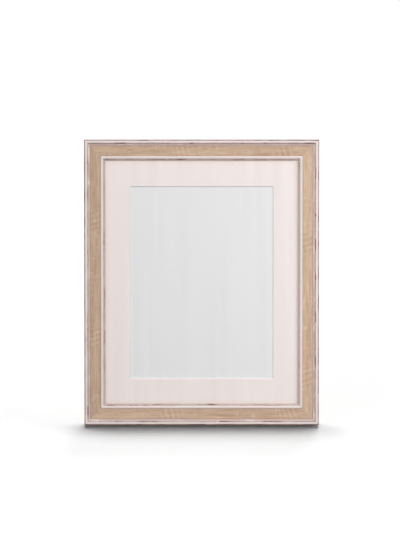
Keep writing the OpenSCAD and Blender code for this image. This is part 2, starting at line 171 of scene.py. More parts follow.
def rubbedPaint():  # chalky off-white paint, dirtied by a mauve-brown wax and sanded to its brown primer; in the cove and at the bead's foot these colours are partly painted shade
    look = {
        "paint": "#f0e4df", "thin": "#d9cac6", "waxAndShade": "#cdbab5", "primer": "#a26d62", "deep": "#5a3128",
        "waxAndShadeAt": (0.2, 0.42), "bareAt": (0.56, 0.88),  # the wear at which wax and bare primer show; in the cove and at the bead's foot they also stand for painted shade
        "patches": {"size": (15.0, 6.0, 6.0), "Detail": 5.0, "Roughness": 0.6}, "patchPull": 0.8,
        "brush": {"size": (30.0, 0.9, 0.9), "Detail": 3.0},  # coarser than its real 0.2 mm lines
        "thinAt": (0.45, 0.8), "thinPull": 0.4, "brushRelief": 0.4,
        "stains": {"size": (26.0, 5.0, 5.0), "shift": 310.0, "Detail": 3.0}, "stainAt": (0.5, 0.57),
        "arris": 3.5,  # the rim's inner arris, along which stained patches are rubbed wider
        "dig": (0.06, 0.03), "digAt": (0.6, 1.9),  # from near the arris to far from it
        "dash": "#83463b", "dashPull": 0.8,  # dark dashes left along the same arris
        "dashes": {"size": (24.0, 50.0, 50.0), "shift": 52.0, "Detail": 3.0},
        "dashAt": (0.53, 0.62), "dashSide": (0.3, 0.75),
        "rough": (0.55, 0.72),
        "relief": 0.5, "depth": 0.00012,  # of the coat, in metres
    }
    material, tree = startMaterial("rubbedPaint")
    grain = addNode(tree, "ShaderNodeAttribute", {"attribute_name": "grain"}).outputs["Vector"]
    rub = addNode(tree, "ShaderNodeAttribute", {"attribute_name": "rub"}).outputs["Fac"]
    pull = addNode(tree, "ShaderNodeMath", {"operation": "MULTIPLY_ADD"}, {
        0: drawnOut(tree, grain, look["patches"]), 1: look["patchPull"], 2: -look["patchPull"] / 2})
    stained = addNode(tree, "ShaderNodeMapRange", {"interpolation_type": "SMOOTHSTEP"}, {
        "Value": drawnOut(tree, grain, look["stains"]),
        "From Min": look["stainAt"][0], "From Max": look["stainAt"][1]})
    across = addNode(tree, "ShaderNodeSeparateXYZ", inputs={"Vector": grain}).outputs["Y"]
    offArris = addNode(tree, "ShaderNodeMath", {"operation": "ABSOLUTE"}, {
        0: addNode(tree, "ShaderNodeMath", {"operation": "SUBTRACT"}, {0: across, 1: look["arris"]})})
    dig = addNode(tree, "ShaderNodeMapRange", inputs={
        "Value": offArris, "From Min": look["digAt"][0], "From Max": look["digAt"][1],
        "To Min": look["dig"][0], "To Max": look["dig"][1]})
    worn = addNode(tree, "ShaderNodeMath", {"operation": "MULTIPLY_ADD"}, {
        0: stained, 1: dig, 2: addNode(tree, "ShaderNodeMath", {"operation": "ADD"}, {0: pull, 1: rub})})
    brush = drawnOut(tree, grain, look["brush"])
    coat = layOver(tree, hexColour(look["paint"]), look["thin"], brush, look["thinAt"], look["thinPull"])
    # wax over the worn places, and in the cove and at the bead's foot painted shade in the same colour
    dirtiedAndShaded = layOver(tree, coat, look["waxAndShade"], worn, look["waxAndShadeAt"], edge="SMOOTHSTEP")
    bare = addNode(tree, "ShaderNodeMapRange", {"interpolation_type": "SMOOTHSTEP"}, {
        "Value": worn, "From Min": look["bareAt"][0], "From Max": look["bareAt"][1]})
    sanded = addNode(tree, "ShaderNodeMix", {"data_type": "RGBA"}, {
        "Factor": bare, "A": dirtiedAndShaded, "B": hexColour(look["primer"])})
    darkened = addNode(tree, "ShaderNodeMix", {"data_type": "RGBA"}, {
        "Factor": addNode(tree, "ShaderNodeMath", {"operation": "MULTIPLY"}, {0: stained, 1: bare}),
        "A": sanded, "B": hexColour(look["deep"])})
    dashed = addNode(tree, "ShaderNodeMapRange", {"interpolation_type": "SMOOTHSTEP"}, {
        "Value": drawnOut(tree, grain, look["dashes"]), "From Min": look["dashAt"][0],
        "From Max": look["dashAt"][1], "To Max": look["dashPull"]})
    band = addNode(tree, "ShaderNodeMapRange", inputs={
        "Value": offArris, "From Min": look["dashSide"][0], "From Max": look["dashSide"][1],
        "To Min": 1.0, "To Max": 0.0})
    colour = addNode(tree, "ShaderNodeMix", {"data_type": "RGBA"}, {
        "Factor": addNode(tree, "ShaderNodeMath", {"operation": "MULTIPLY"}, {0: dashed, 1: band}),
        "A": darkened, "B": hexColour(look["dash"])})
    left = addNode(tree, "ShaderNodeMath", {"operation": "SUBTRACT"}, {0: 1.0, 1: bare})
    height = addNode(tree, "ShaderNodeMath", {"operation": "MULTIPLY_ADD"}, {
        0: brush, 1: look["brushRelief"], 2: left})
    return finishMaterial(material, look, colour, bare, height)


def sawnPine():  # unpainted planed pine: warm straw, soft growth lines, faint planer ripple across it
    look = {
        "early": "#dcc49c", "late": "#b8905f", "lateAt": (0.38, 0.68), "ringRelief": 0.6,
        "rings": {"size": (85.0, 2.6, 2.6), "Detail": 4.0, "Distortion": 0.3},
        "ripple": {"size": (1.8, 50.0, 50.0), "Scale": 0.31, "Distortion": 0.6},  # from a planer's knives
        "rough": (0.72, 0.6),  # late wood planes smoother
        "relief": 0.35, "depth": 0.00008,  # of the marks, in metres
    }
    material, tree = startMaterial("sawnPine")
    grain = addNode(tree, "ShaderNodeAttribute", {"attribute_name": "grain"}).outputs["Vector"]
    rings = drawnOut(tree, grain, look["rings"])
    share = addNode(tree, "ShaderNodeMapRange", inputs={
        "Value": rings, "From Min": look["lateAt"][0], "From Max": look["lateAt"][1]})
    colour = addNode(tree, "ShaderNodeMix", {"data_type": "RGBA"}, {
        "Factor": share, "A": hexColour(look["early"]), "B": hexColour(look["late"])})
    ripple = drawnOut(tree, grain, look["ripple"], "ShaderNodeTexWave")
    height = addNode(tree, "ShaderNodeMath", {"operation": "MULTIPLY_ADD"}, {
        0: rings, 1: look["ringRelief"], 2: ripple.outputs["Fac"]})
    return finishMaterial(material, look, colour, share, height)


def fibreBoard(name, own):  # hardboard, pressed brown fibres: smooth, mottled, a little shiny
    look = {
        # tufts, because the 0.1 mm fibres are too fine to show
        "fibres": {"size": (0.9, 0.9, 2.6), "Detail": 6.0, "Roughness": 0.75, "Distortion": 1.2},
        "cloud": 18.0, "cloudPull": 0.3, "darkAt": (0.38, 0.92),
        "rough": (0.42, 0.62),
        "relief": 0.3, "depth": 0.00008,  # of the fibres, in metres
        **own,
    }
    material, tree = startMaterial(name)
    upright = uprightPlace(tree, look["turn"])
    fibres = drawnOut(tree, upright, look["fibres"])
    cloud = addNode(tree, "ShaderNodeTexNoise", inputs={
        "Vector": upright, "Scale": 1 / look["cloud"], "Detail": 3.0})
    both = addNode(tree, "ShaderNodeMath", {"operation": "MULTIPLY_ADD"}, {
        0: cloud, 1: look["cloudPull"], 2: fibres})
    colour = layOver(tree, hexColour(look["pale"]), look["dark"], both, look["darkAt"])
    return finishMaterial(material, look, colour, fibres, fibres)


def boardPaper(name, own):  # matt uncoated paper or board: even colour, fine tooth
    look = {
        "toothPull": 0.5, "shadeAt": (0.45, 1.05),
        "rough": (0.78, 0.92),
        "relief": 0.2, "depth": 0.00005,  # of the tooth, in metres
        **own,
    }
    material, tree = startMaterial(name)
    upright = uprightPlace(tree)
    tooth = addNode(tree, "ShaderNodeTexNoise", inputs={
        "Vector": upright, "Scale": 1 / look["tooth"], "Detail": 3.0, "Roughness": 0.6})
    both = addNode(tree, "ShaderNodeMath", {"operation": "MULTIPLY_ADD"}, {
        0: tooth, 1: look["toothPull"],
        2: drawnOut(tree, upright, {"size": look["streaks"], "Detail": 1.0})})
    colour = layOver(tree, hexColour(look["pale"]), look["shade"], both, look["shadeAt"])
    return finishMaterial(material, look, colour, tooth, tooth)


def platedSteel(name, own):  # stamped or drawn steel, most of it thinly plated: grey, fine scratches
    look = {
        "dullAt": (0.35, 0.65), "roughAt": (0.3, 0.7), "surface": {"Metallic": 1.0},
        "relief": 0.25, "depth": 0.00003,  # of the scratches, in metres
        **own,
    }
    material, tree = startMaterial(name)
    upright = uprightPlace(tree)
    scratches = drawnOut(tree, upright, {"size": look["scratches"], "Detail": 4.0})
    bloom = addNode(tree, "ShaderNodeTexNoise", inputs={
        "Vector": upright, "Scale": 1 / look["bloom"], "Detail": 2.0})
    colour = layOver(tree, hexColour(look["bright"]), look["dull"], bloom, look["dullAt"])
    return finishMaterial(material, look, colour, scratches, scratches)


def floatGlass():  # clear float glass, seen only by what its outer faces mirror
    look = {"tint": "#feffff", "ior": 1.5, "smear": 40.0, "smooth": 0.015, "rough": 0.05}
    material, tree = startMaterial("floatGlass")
    place = addNode(tree, "ShaderNodeTexCoord").outputs["Object"]
    smears = addNode(tree, "ShaderNodeTexNoise", inputs={"Vector": place, "Scale": look["smear"]})
    rough = addNode(tree, "ShaderNodeMapRange", inputs={
        "Value": smears, "To Min": look["smooth"], "To Max": look["rough"]})
    clear = addNode(tree, "ShaderNodeBsdfTransparent", inputs={"Color": hexColour(look["tint"])})
    mirror = addNode(tree, "ShaderNodeBsdfAnisotropic", inputs={"Roughness": rough})
    inside = addNode(tree, "ShaderNodeNewGeometry").outputs["Backfacing"]
    outside = addNode(tree, "ShaderNodeMath", {"operation": "SUBTRACT"}, {0: 1.0, 1: inside})
    gloss = addNode(tree, "ShaderNodeFresnel", inputs={"IOR": look["ior"]})
    share = addNode(tree, "ShaderNodeMath", {"operation": "MULTIPLY"}, {0: gloss, 1: outside})
    pane = addNode(tree, "ShaderNodeMixShader", inputs={0: share, 1: clear, 2: mirror})
    addNode(tree, "ShaderNodeOutputMaterial", inputs={"Surface": pane})
    return material


oak, paint, pine, glass = limedOak(), rubbedPaint(), sawnPine(), floatGlass()
mountFace = boardPaper("mountFacePaper", {  # pale pink-cream paper, faintly streaked
    "pale": "#fef2ef", "shade": "#f9ebe8", "tooth": 0.8, "streaks": (9.0, 250.0, 250.0)})
mountCore = boardPaper("mountCore", {  # the white core that the bevelled cut lays bare
    "pale": "#f3efee", "shade": "#eae5e4", "tooth": 0.5, "streaks": (3.0, 250.0, 250.0)})
blankPaper = boardPaper("blankPaper", {  # the blank insert, light grey
    "pale": "#f4f1f2", "shade": "#f1edee", "tooth": 0.9, "streaks": (7.0, 250.0, 250.0)})
board = fibreBoard("hardboard", {"pale": "#a07a55", "dark": "#6e4f35", "turn": 0.0})
strutBoard = fibreBoard("strutHardboard", {  # a darker sheet, its fibres along the leg
    "pale": "#8a6a4c", "dark": "#5a412c", "turn": -24.0})
zinc = platedSteel("zincPlatedSteel", {  # satin stampings
    "bright": "#c4c7c9", "dull": "#b2b6b9", "scratches": (0.3, 0.3, 6.0), "bloom": 7.0,
    "rough": (0.3, 0.4)})
brightZinc = platedSteel("brightZincScrews", {  # brighter heads, tumbled in a barrel
    "bright": "#d9dadb", "dull": "#c3c5c8", "scratches": (0.4, 0.4, 1.2), "bloom": 2.5,
    "rough": (0.16, 0.26)})
nickel = platedSteel("nickelPlatedWire", {  # warmer wire, drawn lengthways
    "bright": "#d2d2cf", "dull": "#bdbdb9", "scratches": (0.4, 0.4, 3.0), "bloom": 5.0,
    "rough": (0.14, 0.26)})
nailSteel = platedSteel("plainSteel", {  # not plated, and dull
    "bright": "#8f9194", "dull": "#6c6e70", "scratches": (0.3, 0.3, 1.5), "bloom": 1.5,
    "rough": (0.4, 0.6)})
print("Materials made:", len(bpy.data.materials))


def startTree(name, settings):  # a tree with one named input for each setting
    tree = bpy.data.node_groups.new(name, "GeometryNodeTree")
    kinds = {float: "NodeSocketFloat", int: "NodeSocketInt", bpy.types.Material: "NodeSocketMaterial"}
    tree.interface.new_socket("Geometry", in_out="INPUT", socket_type="NodeSocketGeometry")
    for label, value in settings.items():
        tree.interface.new_socket(label, in_out="INPUT", socket_type=kinds[type(value)])
    tree.interface.new_socket("Geometry", in_out="OUTPUT", socket_type="NodeSocketGeometry")
    given = tree.nodes.new("NodeGroupInput")
    return tree, {s.name: s for s in given.outputs if s.name}


def dressShell(tree, shell, looks, crease=0.6):  # sharp arrises, one real mesh, then its materials
    angle = addNode(tree, "GeometryNodeInputMeshEdgeAngle").outputs["Unsigned Angle"]
    sharp = addNode(tree, "ShaderNodeMath", {"operation": "GREATER_THAN"}, {0: angle, 1: crease})
    shell = addNode(tree, "GeometryNodeStoreNamedAttribute", {"data_type": "BOOLEAN", "domain": "EDGE"}, {
        "Geometry": shell, "Name": "sharp_edge", "Value": sharp})
    shell = addNode(tree, "GeometryNodeRealizeInstances", inputs={"Geometry": shell})
    for look in looks:
        shell = addNode(tree, "GeometryNodeSetMaterial", inputs={"Geometry": shell, **look})
    addNode(tree, "NodeGroupOutput", inputs={"Geometry": shell})


def growPiece(name, tree, start, settings, place):  # runs the tree and keeps a plain mesh
    maker = bpy.data.objects.new(name + "Maker", start)
    scene.collection.objects.link(maker)
    modifier = maker.modifiers.new("shape", "NODES")
    modifier.node_group = tree
    for item in tree.interface.items_tree:
        if item.in_out == "INPUT" and item.name in settings:
            modifier[item.identifier] = settings[item.name]
    bpy.context.view_layer.update()
    depsgraph = bpy.context.evaluated_depsgraph_get()
    mesh = bpy.data.meshes.new_from_object(
        maker.evaluated_get(depsgraph), preserve_all_data_layers=True, depsgraph=depsgraph)
    bpy.data.objects.remove(maker)
    mesh.transform(place)
    mesh.name = name
    piece = bpy.data.objects.new(name, mesh)
    scene.collection.objects.link(piece)
    return piece


def pointMesh(name, points, attributes=None, edges=()):  # the points or line that a tree starts from
    mesh = bpy.data.meshes.new(name)
    mesh.from_pydata(points, edges, [])
    for label, values in (attributes or {}).items():
        mesh.attributes.new(label, "FLOAT", "POINT").data.foreach_set("value", values)
    return mesh


section = {  # across is measured in from the outer edge, deep is measured back from the front
    "arcSteps": 8, "beadSteps": 12,
    "face": 20.9, "rebate": 15.1, "lip": 6.5, "rim": 3.5, "rimRound": 1.0, "rimEase": 0.4,
    "cove": 2.5, "panel": 2.9, "bead": 2.7, "beadFrom": 16.3, "beadTop": 2.6, "sight": 4.7,
    "panelAt": (7.5, 9.5, 11.5, 13.5, 15.4), "lipAt": 18.0, "rebateAt": 10.0, "backAt": (10.0, 5.0),
    # places, each with how far it is rubbed at its end: 0 painted, 1 bare
    "side": ((0, 0.9), (0.6, 0.55), (1.5, 0.2), (4.2, 0.14), (7.2, 0.12), (9.2, 0.16), (11.0, 0.3)),
    "rimTop": ((1.25, 0.25), (1.55, 0.09), (2.6, 0.08)), "sightEdge": ((0, 0.52), (0.8, 0.4)),
    "bevel": ((1.9, 0, 0.5), (1.5, 0.44, 0.62), (0.6, 1.45, 0.6)),
    # rubs alone, and for an arc where its rub starts, how fast it changes and what it never goes below
    # beadFoot darkens the crease at the bead's foot: partly rubbed, partly painted shade
    "rimEnd": 0.3, "beadFoot": (0.45, 0.3), "lipEdge": 0.4, "hidden": 1, "outerArris": (0.58, 0.42),
    # coveArc's floor keeps the whole cove wax-coloured: partly wax in the hollow, partly painted shade
    "innerArris": (0.28, 0.36), "coveArc": (0.8, 0.8, 0.4), "beadArc": (0.3, 0.6, 0.05),
}


def mouldingSection():  # points of the section: across, deep and how far they are rubbed
    s, depth, radius = section, frameSize["depth"], section["bead"] / 2
    quarter = [i / s["arcSteps"] * math.pi / 2 for i in range(s["arcSteps"] + 1)]
    half = [i / s["beadSteps"] * math.pi for i in range(1, s["beadSteps"])]
    points = [(0, depth - up, rub) for up, rub in s["side"]]
    points += [(s["rimRound"] * (1 - math.cos(a)), s["rimRound"] * (1 - math.sin(a)),
                s["outerArris"][0] + s["outerArris"][1] * math.sin(2 * a)) for a in quarter]
    points += [(across, 0, rub) for across, rub in s["rimTop"]]
    points += [(s["rim"] - s["rimEase"], 0, s["rimEnd"])]
    points += [(s["rim"] - s["rimEase"] * (1 - math.sin(a)), s["rimEase"] * (1 - math.cos(a)),
                s["innerArris"][0] + s["innerArris"][1] * a) for a in quarter[2::2]]
    # the cove stays wax-coloured down to the panel, partly painted shade in the hollow
    points += [(s["rim"] + s["cove"] * (1 - math.cos(a)), s["rimEase"] + s["cove"] * math.sin(a),
                max(s["coveArc"][2], s["coveArc"][0] - s["coveArc"][1] * a)) for a in quarter[1:]]
    points += [(across, s["panel"], 0) for across in s["panelAt"]]
    # the bead's foot is rubbed darker, partly painted shade in the crease
    points += [(s["beadFrom"], deep, rub) for deep, rub in zip((s["panel"], s["beadTop"]), s["beadFoot"])]
    points += [(s["beadFrom"] + radius - radius * math.cos(a), s["beadTop"] - radius * math.sin(a),
                max(s["beadArc"][2], s["beadArc"][0] - s["beadArc"][1] * math.sin(a))) for a in half]
    points += [(s["face"] - back, s["beadTop"] + down, rub) for back, down, rub in s["bevel"]]
    points += [(s["face"], s["sight"] + down, rub) for down, rub in s["sightEdge"]]
    points += [(s["face"], s["lip"], s["lipEdge"])]
    hidden = [(s["lipAt"], s["lip"]), (s["rebate"], s["lip"]), (s["rebate"], s["rebateAt"]),
              (s["rebate"], depth), *((across, depth) for across in s["backAt"])]
    return points + [(across, deep, s["hidden"]) for across, deep in hidden]


def sectionStart(points):  # the closed outline, with the way into the wood at each point
    count = len(points)
    inwards = []
    for i in range(count):
        before, after = points[i - 1], points[(i + 1) % count]
        tangent = Vector((after[0] - before[0], after[1] - before[1])).normalized()
        inwards.append((-tangent.y, tangent.x))
    across, deep, rub = zip(*points)
    inAcross, inDeep = zip(*inwards)
    return pointMesh("mouldingSection", [(*point[:2], 0) for point in points], {
        "across": across, "deep": deep, "rub": rub, "inAcross": inAcross, "inDeep": inDeep},
        [(i, (i + 1) % count) for i in range(count)])


mouldingLook = {
    "Length": 100.0, "Steps": 120, "Mitre gap": 0.03,
    "Rub depth": 0.12, "Rub run": 9.0, "Rub share": 1.0, "Rub from": 0.35, "Rub to": 0.75,
    "Grain start": 0.0, "Tone": 1.0, "First figure": 0.0, "Second figure": 0.0, "Figure run": 20.0,
    "Panel from": 5.6, "Panel to": 16.35, "Panel level": 2.9, "Panel slack": 0.06,
    "Lip level": 6.49, "Side slack": 0.01,
    "Oak": oak, "Paint": paint, "Bare wood": pine,
}


def mouldingTree():  # sweeps the section along a length, mitres it and wears its arrises down
    tree, given = startTree("mitredMoulding", mouldingLook)
    profile = addNode(tree, "GeometryNodeMeshToCurve", inputs={"Mesh": given["Geometry"]})
    line = addNode(tree, "GeometryNodeCurvePrimitiveLine", inputs={"Start": (0, 0, 0), "End": (1, 0, 0)})
    path = addNode(tree, "GeometryNodeResampleCurve", {}, {"Curve": line, "Count": given["Steps"]})
    path = addNode(tree, "GeometryNodeStoreNamedAttribute", {"data_type": "FLOAT"}, {
        "Geometry": path, "Name": "along",
        "Value": addNode(tree, "GeometryNodeSplineParameter").outputs["Factor"]})
    shell = addNode(tree, "GeometryNodeCurveToMesh", inputs={
        "Curve": path, "Profile Curve": profile, "Fill Caps": True})
    known = {**given, **{label: addNode(tree, "GeometryNodeInputNamedAttribute", {
        "data_type": "FLOAT"}, {"Name": label}).outputs["Attribute"]
        for label in ("along", "across", "deep", "rub", "inAcross", "inDeep")}}
    for name, way, *takes in (  # each sum has a name, an operation, and the names or values it takes
            ("gap", "MULTIPLY", "Mitre gap", -1.0), ("halfLength", "MULTIPLY_ADD", "Length", 0.5, "gap"),
            ("reach", "SUBTRACT", "halfLength", "across"), ("side", "MULTIPLY_ADD", "along", 2.0, -1.0),
            ("x", "MULTIPLY", "side", "reach"), ("grainX", "ADD", "x", "Grain start"),
            ("patchX", "DIVIDE", "grainX", "Rub run"), ("worn", "MULTIPLY", "rub", "Rub share"),
            ("past", "GREATER_THAN", "across", "Panel from"), ("short", "LESS_THAN", "across", "Panel to"),
            ("strip", "MULTIPLY", "past", "short"),
            ("level", "COMPARE", "deep", "Panel level", "Panel slack"),
            ("panel", "MULTIPLY", "strip", "level"), ("below", "GREATER_THAN", "deep", "Lip level"),
            ("inward", "GREATER_THAN", "across", "Side slack"), ("hidden", "MULTIPLY", "below", "inward")):
        known[name] = addNode(tree, "ShaderNodeMath", {"operation": way}, {
            i: known.get(take, take) for i, take in enumerate(takes)})
    grain = addNode(tree, "ShaderNodeCombineXYZ", inputs={
        "X": known["grainX"], "Y": known["across"], "Z": known["deep"]})
    patchAt = addNode(tree, "ShaderNodeCombineXYZ", inputs={"X": known["patchX"], "Y": known["across"]})
    patches = addNode(tree, "ShaderNodeTexNoise", inputs={"Vector": patchAt, "Scale": 1.0, "Detail": 3.0})
    lift = addNode(tree, "ShaderNodeMapRange", inputs={
        "Value": patches, "From Min": given["Rub from"], "From Max": given["Rub to"]})
    wear = addNode(tree, "ShaderNodeMath", {"operation": "MULTIPLY"}, {
        0: addNode(tree, "ShaderNodeMath", {"operation": "MULTIPLY"}, {0: lift, 1: known["rub"]}),
        1: given["Rub depth"]})
    deep, across = [addNode(tree, "ShaderNodeMath", {"operation": "MULTIPLY_ADD"}, {
        0: wear, 1: known[inwards], 2: known[label]})
        for inwards, label in (("inDeep", "deep"), ("inAcross", "across"))]
    spot = addNode(tree, "ShaderNodeCombineXYZ", inputs={"X": known["x"], "Y": deep, "Z": across})
    shell = addNode(tree, "GeometryNodeSetPosition", inputs={"Geometry": shell, "Position": spot})
    shell = addNode(tree, "GeometryNodeFlipFaces", inputs={"Mesh": shell})
    bumps = []
    for label in ("First figure", "Second figure"):
        away = addNode(tree, "ShaderNodeMath", {"operation": "ABSOLUTE"}, {
            0: addNode(tree, "ShaderNodeMath", {"operation": "SUBTRACT"}, {
                0: known["x"], 1: given[label]})})
        bumps.append(addNode(tree, "ShaderNodeMapRange", {"interpolation_type": "SMOOTHSTEP"}, {
            "Value": away, "From Min": given["Figure run"], "From Max": 0.0}))
    figure = addNode(tree, "ShaderNodeMath", {"operation": "MAXIMUM"}, {0: bumps[0], 1: bumps[1]})
    for label, kind, value in (("grain", "FLOAT_VECTOR", grain), ("figure", "FLOAT", figure),
                               ("tone", "FLOAT", given["Tone"]), ("rub", "FLOAT", known["worn"])):
        shell = addNode(tree, "GeometryNodeStoreNamedAttribute", {"data_type": kind}, {
            "Geometry": shell, "Name": label, "Value": value})
    dressShell(tree, shell, [{"Material": given["Paint"]},
                             {"Material": given["Oak"], "Selection": known["panel"]},
                             {"Material": given["Bare wood"], "Selection": known["hidden"]}], crease=0.7)
    return tree


rails = {  # the middle of each outer edge in shares of width and height, and each length's grain, figures, tone and rub share: the left stile darkest, the right stile rubbed least
    "top_rail": {"at": (0, 1), "turn": 180, "Rub share": 1.02, "Grain start": 0.0, "Tone": 0.97,
                 "First figure": 18.0, "Second figure": -84.0},
    "bottom_rail": {"at": (0, 0), "turn": 0, "Rub share": 1.03, "Grain start": 400.0, "Tone": 1.01,
                    "First figure": -31.0, "Second figure": 88.0},
    "left_stile": {"at": (-0.5, 0.5), "turn": 90, "Rub share": 1.0, "Grain start": 800.0, "Tone": 0.92,
                   "First figure": 55.0, "Second figure": -60.0},
    "right_stile": {"at": (0.5, 0.5), "turn": -90, "Rub share": 0.84, "Grain start": 1200.0, "Tone": 1.03,
                    "First figure": 42.0, "Second figure": -95.0},
}
sectionMesh, moulding = sectionStart(mouldingSection()), mouldingTree()
for node, own in rails.items():
    side, up = own["at"]
    place = (Matrix.Translation((side * frameSize["width"], 0, up * frameSize["height"]))
             @ Matrix.Rotation(math.radians(own["turn"]), 4, "Y"))
    length = frameSize["height"] if side else frameSize["width"]
    piece = growPiece(node + "_moulding", moulding, sectionMesh,
                      {**mouldingLook, **own, "Length": length}, standing @ place)
    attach(piece, "frame")
    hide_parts(node)
print("Four mouldings mitred,", len(piece.data.polygons), "faces in the last")


mount = {"width": 203.2, "height": 254.0, "front": 8.53, "back": 9.87, "floor": 15.1,
         "windowWidth": 142.4, "windowHeight": 191.8, "raise": 0.5, "facePaper": 0.12}


def mountRing(wide, tall, deep, middle):  # four corners of a rectangle in the frame's own axes
    return [(-wide, deep, middle - tall), (wide, deep, middle - tall),
            (wide, deep, middle + tall), (-wide, deep, middle + tall)]


def makeMount():  # a board whose window is cut at 45 degrees, narrowing towards the back
    m = mount
    middle = m["floor"] + m["height"] / 2
    thick = m["back"] - m["front"]
    rings = [mountRing(m["width"] / 2, m["height"] / 2, deep, middle)
             for deep in (m["back"], m["front"] + m["facePaper"], m["front"])]
    rings += [mountRing(m["windowWidth"] / 2 + thick - down, m["windowHeight"] / 2 + thick - down,
                        m["front"] + down, middle + m["raise"]) for down in (0, m["facePaper"], thick)]
    faces, looks = [], []
    for r, look in enumerate((1, 0, 0, 0, 1, 1)):  # core round its edge, face paper, core in the cut
        for i in range(4):
            a, b, j = r * 4, (r + 1) % len(rings) * 4, (i + 1) % 4
            faces.append((a + i, a + j, b + j, b + i))
            looks.append(look)
    mesh = bpy.data.meshes.new("window_mount_board")
    mesh.from_pydata([p for ring in rings for p in ring], [], faces)
    mesh.materials.append(mountFace)
    mesh.materials.append(mountCore)
    mesh.polygons.foreach_set("material_index", looks)
    mesh.transform(standing)
    mesh.update()
    return bpy.data.objects.new("window_mount_board", mesh)


mountPiece = makeMount()
scene.collection.objects.link(mountPiece)
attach(mountPiece, "frame")
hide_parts("window_mount")

keptNodes = {  # the solids that keep their own shape, and their materials
    "glazing_sheet": glass, "picture_sheet": blankPaper, "backing_board": board,
    "strut_leg": strutBoard, "hinge_pin": nickel,
    **dict.fromkeys(("hinge_board_leaf", "hinge_strut_leaf", "upright_hanger_strap",
                     "sideways_hanger_strap", "turn_button_upper_left", "turn_button_upper_right",
                     "turn_button_lower_left", "turn_button_lower_right"), zinc),
}
for node, material in keptNodes.items():
    frame["nodes"][node].data.materials.clear()
    frame["nodes"][node].data.materials.append(material)
print("Sheets and plates have their materials")


fastener = {  # how finely it is divided, where its ball is pressed flat, and what closes a cut head
    "sides": 32, "rings": 16, "shankSides": 24, "taperSteps": 24, "pressedFrom": -0.01, "weld": 0.002,
}


def domedHead(tree, given):  # a ball with its lower half pressed flat, and a short skirt between
    ball = addNode(tree, "GeometryNodeMeshUVSphere", inputs={
        "Segments": fastener["sides"], "Rings": fastener["rings"], "Radius": 1.0})
    position = addNode(tree, "GeometryNodeInputPosition")
    z = addNode(tree, "ShaderNodeSeparateXYZ", inputs={"Vector": position}).outputs["Z"]
    above = addNode(tree, "ShaderNodeMath", {"operation": "MAXIMUM"}, {0: z, 1: 0.0})
    cap = addNode(tree, "ShaderNodeMath", {"operation": "MULTIPLY"}, {0: above, 1: given["Dome"]})
    isAbove = addNode(tree, "ShaderNodeMath", {"operation": "GREATER_THAN"}, {
        0: z, 1: fastener["pressedFrom"]})
    top = addNode(tree, "ShaderNodeMath", {"operation": "MULTIPLY_ADD"}, {
        0: isAbove, 1: given["Skirt"], 2: given["Seat"]})
    height = addNode(tree, "ShaderNodeMath", {"operation": "ADD"}, {0: cap, 1: top})
    wide = addNode(tree, "ShaderNodeVectorMath", {"operation": "SCALE"}, {
        "Vector": position, "Scale": given["Head radius"]})
    flat = addNode(tree, "ShaderNodeSeparateXYZ", inputs={"Vector": wide})
    place = addNode(tree, "ShaderNodeCombineXYZ", inputs={
        "X": flat.outputs["X"], "Y": flat.outputs["Y"], "Z": height})
    return addNode(tree, "GeometryNodeSetPosition", inputs={"Geometry": ball, "Position": place})


def shankBelow(tree, given, steps=1):  # a round shank from the head's underside down into the wood
    half = addNode(tree, "ShaderNodeMath", {"operation": "MULTIPLY"}, {0: given["Shank"], 1: 0.5})
    middle = addNode(tree, "ShaderNodeMath", {"operation": "SUBTRACT"}, {0: given["Seat"], 1: half})
    rod = addNode(tree, "GeometryNodeMeshCylinder", inputs={
        "Vertices": fastener["shankSides"], "Side Segments": steps,
        "Radius": given["Shank radius"], "Depth": given["Shank"]}).outputs["Mesh"]
    return addNode(tree, "GeometryNodeTransform", inputs={
        "Geometry": rod, "Translation": addNode(tree, "ShaderNodeCombineXYZ", inputs={"Z": middle})})


def turnedOnPoints(tree, given, part):  # one on each point, turned as the point says
    turn = addNode(tree, "GeometryNodeInputNamedAttribute", {"data_type": "FLOAT"}, {
        "Name": "turn"}).outputs["Attribute"]
    return addNode(tree, "GeometryNodeInstanceOnPoints", inputs={
        "Points": given["Geometry"], "Instance": part,
        "Rotation": addNode(tree, "ShaderNodeCombineXYZ", inputs={"Z": turn})})


rivetLook = {"Head radius": 2.4, "Dome": 0.62, "Skirt": 0.28, "Seat": 0.8, "Shank radius": 1.3,
             "Shank": 3.75, "Steel": brightZinc}


def rivetTree():  # one domed rivet on each point
    tree, given = startTree("domedRivets", rivetLook)
    whole = addNode(tree, "GeometryNodeJoinGeometry")
    for part in (domedHead(tree, given), shankBelow(tree, given)):
        tree.links.new(part.outputs["Geometry"], whole.inputs["Geometry"])
    shell = addNode(tree, "GeometryNodeInstanceOnPoints", inputs={
        "Points": given["Geometry"], "Instance": whole})
    dressShell(tree, shell, [{"Material": given["Steel"]}])
    return tree


hinge = {"height": 200.0, "pinOut": 2.2, "open": 24.0, "rivetSide": 6.96, "rivetDown": 11.56,
         "leafSeat": 1.9}
hangers = {"upright": {"place": onBack(0, 249.8), "swing": 13.0},
           "sideways": {"place": onBack(81.5, 142.9, 90), "swing": 90.0}}
strap = {"barOut": 1.56, "rivetDown": 8.4, "rivet": {"Seat": 1.2, "Shank": 4.15}}
opened = (onBack(0, hinge["height"]) @ Matrix.Translation((0, 0, hinge["pinOut"]))
          @ Matrix.Rotation(math.radians(hinge["open"]), 4, "X"))
hingeSides = (-hinge["rivetSide"], hinge["rivetSide"])
rivetSets = {  # the body, the matrix, the points, and what differs from rivetLook
    "hinge_board_rivets": ("frame", onBack(0, hinge["height"]),
                           [(x, -hinge["rivetDown"], 0) for x in hingeSides], {}),
    "hinge_strut_rivets": ("strut", opened, [(x, hinge["rivetDown"], 0) for x in hingeSides],
                           {"Seat": hinge["leafSeat"]}),
    **{name + "_hanger_rivet": ("frame", own["place"], [(0, strap["rivetDown"], 0)], strap["rivet"])
       for name, own in hangers.items()},
}
